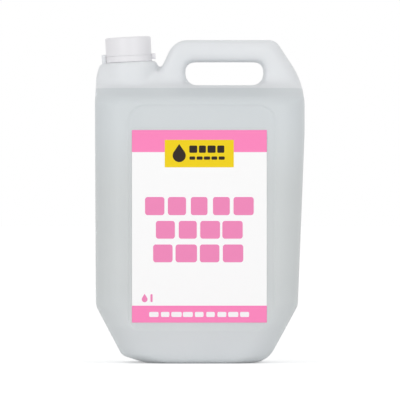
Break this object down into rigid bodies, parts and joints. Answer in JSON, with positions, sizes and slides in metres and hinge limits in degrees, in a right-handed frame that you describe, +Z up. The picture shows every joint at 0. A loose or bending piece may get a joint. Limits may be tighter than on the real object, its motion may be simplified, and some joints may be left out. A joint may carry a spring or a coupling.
{
  "type": "hand soap refill pack",
  "caption": "Upright milky plastic can of liquid hand soap, with a hollow handle moulded into its top, an off-centre screw cap with a tamper ring, and a flat front label.",
  "frame": {"origin": "middle of the base, on the surface the can stands on", "axes": "+Z up; the label faces -Y; the neck is at -X and the handle at +X"},
  "size_m": [0.19, 0.1246, 0.2962],
  "materials": {
    "blow_moulded_polyethylene": "milky, satin",
    "liquid_hand_soap": "clear liquid",
    "moulded_white_polypropylene": "satin",
    "polyethylene_foam": "matt",
    "printed_film_label": "satin film"
  },
  "bodies": {
    "can": {"bottle": "blow_moulded_polyethylene", "liquid_soap": "liquid_hand_soap", "tamper_ring": "moulded_white_polypropylene", "front_label": "printed_film_label"},
    "liner": {"cap_liner": "polyethylene_foam"},
    "screw_cap": {"cap": "moulded_white_polypropylene"}
  },
  "joints": [
    {"name": "cap_lift", "type": "slide", "parent": "can", "child": "liner", "axis": [-0.0523, 0, 0.9986], "range_m": [0, 0.015]},
    {"name": "cap_turn", "type": "hinge", "parent": "liner", "child": "screw_cap", "pos_m": [-0.0642, 0, 0.2726], "axis": [-0.0523, 0, 0.9986], "range_deg": [0, 1080]}
  ],
  "couplings": [
    {"joint": "cap_lift", "follows": "cap_turn", "m_per_rad": 0.00079577}
  ]
}
